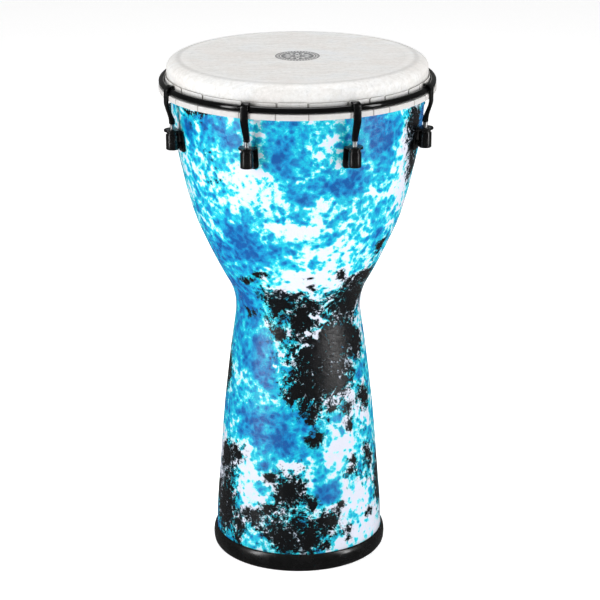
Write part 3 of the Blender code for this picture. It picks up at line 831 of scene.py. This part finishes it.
def build_foot_ring():
    """Rubber channel: grooved underside, bulging outside, and a lip inside the shell."""
    middle = FOOT_HEIGHT / 2
    inside, outside = FOOT_CHANNEL
    outline = [(FOOT_BORE + 1.6, 0.3), (FOOT_BORE + 4.1, 0.0)]
    for groove in FOOT_GROOVES:
        outline += [(groove - 0.5, 0.0), (groove - 0.25, 0.55), (groove + 0.25, 0.55), (groove + 0.5, 0.0)]
    bulges = ((4.4, middle, -90, -50, 4), (3.4, middle - 0.6, -48, 48, 16), (3.9, middle, 54, 90, 4))
    for bulge, tall, start, end, steps in bulges:
        outline += arc((FOOT_RADIUS - bulge, middle), (bulge, tall), start, end, steps)
    outline += [(outside + 0.01, FOOT_HEIGHT), (outside, FOOT_HEIGHT - 0.8), (outside, FOOT_FLOOR)]
    outline += [(inside, FOOT_FLOOR), (inside, FOOT_LIP)]
    outline += arc((FOOT_BORE + 1, FOOT_LIP - 1), (1.0, 1.0), 90, 180, 4)
    outline += [(FOOT_BORE, 1.2), (FOOT_BORE + 0.5, 0.5)]
    mesh = recalculated(lathe("foot_ring_rubber", outline, 240))
    rubber = moulded_rubber("foot_rubber_grain", 0.003, 0.24)
    place("foot_ring_rubber", mesh, rubber, "shell_body", ("foot_ring",))


# ---- drumhead

TAB_SEED = 77
FRONT_SLITS = (-45.0, -25.0, -10.0, 3.0, 20.0, 30.0, 38.0, 53.0, 63.0)
SLIT_WIDTH = 0.9
SLIT_DEPTH = 0.4
SLIT_COLUMNS = (-0.3, -0.1, 0.1, 0.3)  # degrees from a slit's middle
ROLL_STEPS = 22
HEAD_SIDES = 288
COLLAR_HEIGHTS = (596, 592, 588, 584, 580, 577)
FLARE_START = 586.5  # the tabs lean out from here up, fully from FLARE_REACH higher
FLARE_REACH = 4.5


def build_drumhead():
    """One film: playing surface, rolled shoulder, collar, and the tuck round the flesh hoop."""
    top = [(4.0 * i, HEAD_TOP) for i in range(34)] + [(134.0, HEAD_TOP)]
    top += arc(ROLL_CENTRE, (ROLL_REACH, ROLL_HEIGHT), 90, 0, ROLL_STEPS)
    collar = [(HEAD_RADIUS, z) for z in COLLAR_HEIGHTS]
    pocket = [
        (HEAD_RADIUS, TUCK_BOTTOM + FILM), (TUCK_RADIUS - FILM - GAP, TUCK_BOTTOM + FILM),
        (TUCK_RADIUS - FILM, TUCK_BOTTOM + FILM + GAP), (TUCK_RADIUS - FILM, TUCK_TOP - FILM),
        (HEAD_RADIUS + 0.25, TUCK_TOP - FILM),
    ]
    outer_fold = [(HEAD_RADIUS + 0.25, TUCK_TOP)]
    outer_fold += arc((TUCK_RADIUS - 1.6, TUCK_TOP - 1.6), (1.6, 1.6), 90, 0, 6)
    outer_fold += arc((TUCK_RADIUS - 1.6, TUCK_BOTTOM + 1.6), (1.6, 1.6), 0, -90, 6)
    outer_fold += arc((HEAD_RADIUS - FILM + 1.2, TUCK_BOTTOM + 1.2), (1.2, 1.2), -90, -180, 4)
    below = arc(ROLL_CENTRE, (ROLL_REACH - FILM, ROLL_HEIGHT - FILM), 0, 90, ROLL_STEPS)
    below += [(r, HEAD_TOP - FILM) for r in (120, 60, 0)]
    slits = tab_slits()
    extra = [slit + offset for slit in slits for offset in SLIT_COLUMNS]
    outline = top + collar + pocket + outer_fold + below
    mesh = recalculated(lathe("head_skin", outline, HEAD_SIDES, extra=extra))
    # The slits in the tuck are pressed in a little; their points get 1 in cut, for painted shade lines
    cut = np.zeros(len(mesh.vertices))
    for vertex in mesh.vertices:
        x, y, z = vertex.co / MM
        radius = math.hypot(x, y)
        if z < TUCK_TOP + 0.1 and radius > HEAD_RADIUS + 2:
            azimuth = math.degrees(math.atan2(x, -y))
            if min(abs(around(azimuth, slit)) for slit in slits) < 0.15:
                cut[vertex.index] = 1.0
                vertex.co.xy *= (radius - SLIT_DEPTH) / radius
    store(mesh, "cut", cut)
    film = head_material("head_film_back", False)
    mesh.materials.append(head_material("head_film_top", True))
    mesh.materials.append(film)
    for polygon in mesh.polygons:
        polygon.material_index = 0 if polygon.center.z > (HEAD_TOP - 0.2) * MM else 1
    place("head_skin", mesh, film, "head_assembly", ("drumhead",))
    build_tabs(film)


def tab_slits():
    """Azimuths of the cuts between the tabs: the ones in view, then uneven ones round the back."""
    rng = random.Random(TAB_SEED)
    slits = list(FRONT_SLITS)
    while slits[-1] < 342 + FRONT_SLITS[0]:
        slits.append(slits[-1] + rng.uniform(9.0, 17.0))
    return slits


def build_tabs(film):
    """The head's cut edge: uneven tabs that stand between the collar and the rim."""
    rng = random.Random(TAB_SEED + 1)
    slits = tab_slits()
    inner = HEAD_RADIUS + GAP
    tabs = []
    edge_shade = []
    for start, end in zip(slits, slits[1:] + [slits[0] + 360]):
        top = TAB_TOP - rng.uniform(0.0, 0.8)
        flare = rng.uniform(0.5, 1.1)
        slope = rng.uniform(-0.5, 0.5)
        width = math.radians(end - start) * inner - SLIT_WIDTH
        inside = np.linspace(3.0, width - 3.0, max(4, int(width / 3.5)))
        marks = [0.0, 0.35, 0.8, 1.6, *inside, width - 1.6, width - 0.8, width - 0.35, width]
        verts = []
        for mark in marks:
            angle = math.radians(start) + (SLIT_WIDTH / 2 + mark) / inner
            from_end = min(mark, width - mark)
            crown = top - 1.5 * max(0.0, 1 - from_end / 2.0) ** 2 + slope * (mark / width - 0.5)
            # Painted shade along the tab's top edge and at its ends
            edge_shade += [0.0, 0.0, 1.0, 1.0, 0.0, 0.0] if from_end > 0.4 else [1.0] * 6
            for depth, height in (
                (0.0, TUCK_TOP - 0.4), (0.0, crown - 0.5), (0.1, crown), (FILM - 0.2, crown),
                (FILM - 0.05, crown - 0.5), (FILM - 0.05, TUCK_TOP - 0.4),
            ):
                lean = flare * max(0.0, min(1.0, (height - FLARE_START) / FLARE_REACH)) ** 1.5
                verts.append(on_drum(inner + depth + lean, angle, height))
        tabs.append(capped("tab", verts, 6))
    mesh = joined("head_tabs", tabs)
    store(mesh, "cut", np.array(edge_shade))
    place("head_tabs", mesh, film, "head_assembly")


def build_rim():
    """Round steel bar that presses the tuck down."""
    outline = arc((RIM_RADIUS, RIM_Z), (RIM_BAR, RIM_BAR), 0, 360, 24)[:-1]
    mesh = recalculated(lathe("rim_bar", outline, HEAD_SIDES))
    coat = painted_steel("rim_powder_coat", 0.002, 0.11, 0.05)
    place("rim_bar", mesh, coat, "head_assembly", ("rim",))


# ---- tuners

ROD_CORE = 2.35
THREAD_PITCH = 1.0
THREAD_SIDES = 20
THREAD_STEPS = 6  # rings of points to each pitch
HOOK_STEPS = 18
BRACKET_CORNER = 4.0
BRACKET_BEND = 3.4
BRACKET_EDGE = 0.55
BRACKET_STEPS = 8
EAR_STEPS = 14
GRIP_RIBS = 24
GRIP_DEPTH = 0.05


def rod_mesh():
    """Rod with a helical thread, closed at both ends, on the axis."""
    low = HOOK_LOW
    high = HOOK_FOOT + 1
    count = int((high - low) / THREAD_PITCH * THREAD_STEPS)
    verts = []
    for i in range(count + 1):
        z = low + (high - low) * i / count
        for side in range(THREAD_SIDES):
            angle = math.tau * side / THREAD_SIDES
            phase = (z / THREAD_PITCH - side / THREAD_SIDES) % 1.0
            crest = min(1.0, 1.35 * (1 - abs(2 * phase - 1)))
            r = ROD_CORE if i in (0, count) else ROD_CORE + (ROD_OUTER - ROD_CORE) * crest
            verts.append((r * math.cos(angle) * MM, r * math.sin(angle) * MM, z * MM))
    return capped("rod_thread", verts, THREAD_SIDES, 60.0)


def hook_mesh():
    """Flat bar bent over the rim, drawn in to a square foot that holds the rod."""
    wide = HOOK_WIDTH
    thick = HOOK_THICKNESS
    wrap = RIM_BAR + HOOK_GAP + thick / 2
    drop = RIM_RADIUS + wrap
    stations = []
    for i in range(HOOK_STEPS + 1):
        angle = HOOK_WRAP * (1 - i / HOOK_STEPS)
        radius = RIM_RADIUS + wrap * math.cos(math.radians(angle))
        height = RIM_Z + wrap * math.sin(math.radians(angle))
        thinned = (1 - min(1.0, i / 3)) ** 2
        stations.append((radius, height, angle, wide - 1.6 * thinned, thick - 0.7 * thinned, 0.9))
    lower = [
        (drop, RIM_Z - 5, 0, wide, thick, 0.9),
        (drop, 573, 0, wide, thick, 0.9),
        (drop - 0.1, 569.5, -4, wide, thick, 0.9),
        (drop - 1.4, 564.5, -16, wide - 0.5, thick + 0.3, 1.0),
        (ROD_RADIUS + 2.4, HOOK_FOOT + 11.5, -19, 8.0, 4.2, 1.4),
        (ROD_RADIUS + 0.7, HOOK_FOOT + 6.5, -10, 7.2, 5.6, 2.0),
        (ROD_RADIUS, HOOK_FOOT + 3.0, 0, HOOK_FOOT_WIDTH, HOOK_FOOT_THICKNESS, 2.2),
        (ROD_RADIUS, HOOK_FOOT + 0.9, 0, HOOK_FOOT_WIDTH, HOOK_FOOT_THICKNESS, 2.2),
        (ROD_RADIUS, HOOK_FOOT, 0, HOOK_FOOT_WIDTH - 1, HOOK_FOOT_THICKNESS - 1, 2.0),
    ]
    stations += [tuple(station) for station in smoothed(lower, 4)]
    return bar("hook_bar", stations)


def plate_profile():
    """Middle radius of the CAD bracket's plate at its foot, and its lean in degrees."""
    turn = Matrix.Rotation(-math.radians(FIRST_TUNER), 4, "Z")
    corners = [turn @ vertex.co / MM for vertex in frame["nodes"]["lug_bracket_1"].data.vertices]
    upper_z = EAR_TOP - PLATE_THICKNESS / 2 - 2.5
    middles = []
    for height in (PLATE_BOTTOM, upper_z):
        radii = [-c.y for c in corners if abs(c.z - height) < 0.4 and -c.y < ROD_RADIUS - 5]
        middles.append((min(radii) + max(radii)) / 2)
    return middles[0], math.degrees(math.atan2(middles[1] - middles[0], upper_z - PLATE_BOTTOM))


def bracket_mesh(foot, lean):
    """Plate with round lower corners, bent out to an ear with a round end and the rod's hole."""
    width = PLATE_WIDTH
    thick = PLATE_THICKNESS
    ear_z = EAR_TOP - thick / 2
    slope = math.tan(math.radians(lean))
    stations = []
    for i in range(BRACKET_STEPS + 1):
        angle = math.radians(90 * i / BRACKET_STEPS)
        rise = BRACKET_CORNER * (1 - math.cos(angle))
        across = width - 2 * BRACKET_CORNER * (1 - math.sin(angle))
        stations.append((foot + slope * rise, PLATE_BOTTOM + rise, -lean, across, thick, BRACKET_EDGE))
    bend_z = ear_z - BRACKET_BEND
    bend_radius = foot + (bend_z - PLATE_BOTTOM) * slope
    for i in range(BRACKET_STEPS + 1):
        part = i / BRACKET_STEPS
        tilt = lean + (90 - lean) * part
        rise = math.sin(math.radians(tilt)) - math.sin(math.radians(lean)) * (1 - part)
        radius = bend_radius + BRACKET_BEND * (1 - math.cos(math.radians(tilt)))
        stations.append((radius, bend_z + BRACKET_BEND * rise, -tilt, width, thick, BRACKET_EDGE))
    for i in range(EAR_STEPS + 1):
        angle = math.radians(84 * i / EAR_STEPS)
        radius = ROD_RADIUS + width / 2 * math.sin(angle)
        stations.append((radius, ear_z, -90, width * math.cos(angle), thick, BRACKET_EDGE))
    plate = bar("bracket_plate", stations)
    hole = recalculated(lathe("hole", [(0, -8), (EAR_HOLE, -8), (EAR_HOLE, 8), (0, 8)], 32, closed=False))
    return drilled(plate, hole, Matrix.Translation((0, -ROD_RADIUS * MM, ear_z * MM)))


def cover_mesh():
    """Rubber sleeve on the axis: rounded rims, neck groove, moulded grip ribs."""
    low = COVER_BOTTOM
    high = NUT_TOP
    outline = [(COVER_RADIUS - 1.3, low + 0.4), (COVER_RADIUS - 1, low)]
    outline += arc((COVER_RADIUS - 1, low + 1.0), (1.0, 1.0), -80, 0, 5)
    outline += [(COVER_RADIUS, low + 6), (COVER_RADIUS, high - 4.6)]
    outline += arc((COVER_RADIUS - 0.6, high - 4.0), (0.6, 0.6), 0, 90, 4)
    outline += [(6.55, high - 3.1), (6.4, high - 2.4), (6.6, high - 1.6)]
    outline += arc((6.2, high - 0.6), (0.5, 0.6), 0, 90, 4)
    outline += [(COVER_BORE, high), (COVER_BORE, COVER_MOUTH_TOP + 0.2), (COVER_MOUTH, COVER_MOUTH_TOP)]
    mesh = recalculated(lathe("cover", outline, 48))
    for vertex in mesh.vertices:
        x, y, z = vertex.co / MM
        radius = math.hypot(x, y)
        if radius > COVER_RADIUS - 0.05 and low + 2.2 < z < high - 4:
            rib = GRIP_DEPTH * (1 + math.cos(GRIP_RIBS * math.atan2(y, x)))
            vertex.co.xy *= (radius - rib) / radius
    return mesh


def bolt_mesh():
    """Button head with a hex socket; +Z points away from the plate."""
    end = -BOLT_LENGTH
    outline = [(0, end), (BOLT_HALF - 0.35, end), (BOLT_HALF, end + 0.4), (BOLT_HALF, GAP)]
    outline += [(BOLT_HEAD, GAP), (BOLT_HEAD, 0.7)]
    outline += arc((BOLT_HEAD - 1.3, 0.8), (1.3, 1.1), 0, 80, 6) + [(2.0, 1.9), (0, 1.9)]
    body = recalculated(lathe("bolt", outline, 36, closed=False))
    socket = recalculated(lathe("socket", [(0, -1.4), (1.75, -1.4), (1.75, 3), (0, 3)], 6, closed=False))
    return drilled(body, socket, Matrix.Translation((0, 0, 2.0 * MM)))


def bolt_seat(foot, lean):
    """Matrix that puts a bolt on the front of the plate, square to it."""
    lean = math.radians(lean)
    out = Vector((0, -math.cos(lean), -math.sin(lean)))
    middle = Vector((0, -(foot + (BOLT_Z - PLATE_BOTTOM) * math.tan(lean)), BOLT_Z))
    turn = Vector((0, 0, 1)).rotation_difference(out).to_matrix().to_4x4()
    return Matrix.Translation((middle + out * (PLATE_THICKNESS / 2)) * MM) @ turn


def build_tuners():
    """Each piece is made once in the plane x = 0, then turned to its tuner's azimuth."""
    foot, lean = plate_profile()
    to_rod = Matrix.Translation((0, -ROD_RADIUS * MM, 0))
    hook = hook_mesh()
    hook_coat = painted_steel("hook_powder_coat", 0.002, 0.13, 0.06)
    rod = rod_mesh()
    rod.transform(to_rod)
    rod_zinc = plated_steel("rod_zinc", 0.62, 0.26)
    bracket = bracket_mesh(foot, lean)
    plate_coat = painted_steel("bracket_powder_coat", 0.003, 0.24, 0.2)
    cover = cover_mesh()
    cover.transform(to_rod)
    rubber = moulded_rubber("sleeve_rubber_grain", 0.003, 0.22)
    bolt = bolt_mesh()
    bolt.transform(bolt_seat(foot, lean))
    oxide = painted_steel("bolt_black_oxide", 0.012, 0.2, 0.1)
    nut_zinc = plated_steel("nut_zinc", 0.62, 0.28)
    lock_zinc = plated_steel("lock_nut_zinc", 0.58, 0.34)
    for i in range(1, TUNERS + 1):
        turn = FIRST_TUNER + (i - 1) * TUNER_STEP
        place(f"hook_bar_{i}", hook, hook_coat, "head_assembly", (f"tension_hook_{i}",), turn)
        place(f"hook_rod_{i}", rod, rod_zinc, "head_assembly", (), turn)
        place(f"bracket_{i}", bracket, plate_coat, "shell_body", (f"lug_bracket_{i}",), turn)
        place(f"bolt_{i}", bolt, oxide, "shell_body", (f"bracket_bolt_{i}",), turn)
        place(f"cover_{i}", cover, rubber, f"tuner_{i}", (f"nut_cover_{i}",), turn)
        nut = rounded_copy(f"tuning_nut_{i}", 0.35)
        place(f"nut_{i}", nut, nut_zinc, f"tuner_{i}", (f"tuning_nut_{i}",))
        lock = rounded_copy(f"lock_nut_{i}", 0.3)
        place(f"inner_nut_{i}", lock, lock_zinc, "shell_body", (f"lock_nut_{i}",))


def finish_hoop():
    """The flesh hoop keeps its CAD shape inside the tuck and gets a rolled steel finish."""
    hoop = frame["nodes"]["flesh_hoop"]
    hoop.data.materials.clear()
    hoop.data.materials.append(plated_steel("hoop_rolled_steel", 0.55, 0.33, (1, 1, 14)))


# ---- studio

CAMERA_DISTANCE = 2558.6
CAMERA_HEIGHT = 1177.1
CAMERA_AZIMUTH = -1.35
CAMERA_PITCH = 18.674
CAMERA_ROLL = -0.19
CAMERA_SHIFT = (0.003, -0.0021)
LENS = 134.65
SKY_LEVEL = 0.15
GROUND_LEVEL = 0.1
FLOOR_GLOW = 0.74
FLOOR_Z = -0.2
FLOOR_RADII = (0, 400, 2000, 9000, 90000)
SOFTBOXES = (  # name, azimuth, distance, height, width, tall, watts, height aimed at
    ("strip_left", -58, 1800, 820, 300, 1600, 26, 420),
    ("strip_right", 62, 1800, 820, 300, 1600, 23, 420),
    ("top_fill", 180, 300, 2400, 1300, 1300, 31, 500),
)


def softbox(name, azimuth, distance, height, width, tall, power, aim):
    """Rectangular light that faces the drum's axis and doesn't show."""
    light = bpy.data.lights.new(name, "AREA")
    light.shape = "RECTANGLE"
    light.size = width * MM
    light.size_y = tall * MM
    light.energy = power
    obj = added(name, light)
    obj.location = on_drum(distance, math.radians(azimuth), height)
    obj.rotation_euler = (Vector((0, 0, aim * MM)) - obj.location).to_track_quat("-Z", "Y").to_euler()
    obj.visible_camera = False


def build_floor():
    mesh = lathe("studio_floor", [(radius, FLOOR_Z) for radius in FLOOR_RADII], 64, closed=False)
    mesh.materials.append(floor_material())
    floor = added("studio_floor", recalculated(mesh))
    floor.visible_glossy = False


def build_sky():
    """White world, a little dimmer below the horizon."""
    world = bpy.data.worlds.new("studio")
    world.use_nodes = True
    tree = world.node_tree
    direction = tree.nodes.new("ShaderNodeTexCoord")
    parts = tree.nodes.new("ShaderNodeSeparateXYZ")
    level = tree.nodes.new("ShaderNodeMapRange")
    set_range(level, -0.05, 0.05, GROUND_LEVEL, SKY_LEVEL)
    tree.links.new(direction.outputs["Generated"], parts.inputs[0])
    tree.links.new(parts.outputs["Z"], level.inputs["Value"])
    tree.links.new(level.outputs["Result"], tree.nodes["Background"].inputs["Strength"])
    tree.nodes["Background"].inputs["Color"].default_value = (1.0, 1.0, 1.0, 1.0)
    bpy.context.scene.world = world


def build_camera():
    camera = bpy.data.cameras.new("camera")
    camera.lens = LENS
    camera.sensor_width = 36
    camera.shift_x, camera.shift_y = CAMERA_SHIFT
    camera.clip_end = 200
    obj = added("camera", camera)
    azimuth = math.radians(CAMERA_AZIMUTH)
    stand = Matrix.Translation(on_drum(CAMERA_DISTANCE, azimuth, CAMERA_HEIGHT))
    heading = Matrix.Rotation(azimuth, 4, "Z")
    pitch = Matrix.Rotation(math.radians(90 - CAMERA_PITCH), 4, "X")
    roll = Matrix.Rotation(math.radians(CAMERA_ROLL), 4, "Z")
    obj.matrix_world = stand @ heading @ pitch @ roll
    bpy.context.scene.camera = obj


build_floor()
build_sky()
for settings in SOFTBOXES:
    softbox(*settings)
build_camera()
bpy.context.scene.view_settings.view_transform = "Standard"
build_shell()
build_foot_ring()
build_drumhead()
build_rim()
build_tuners()
finish_hoop()
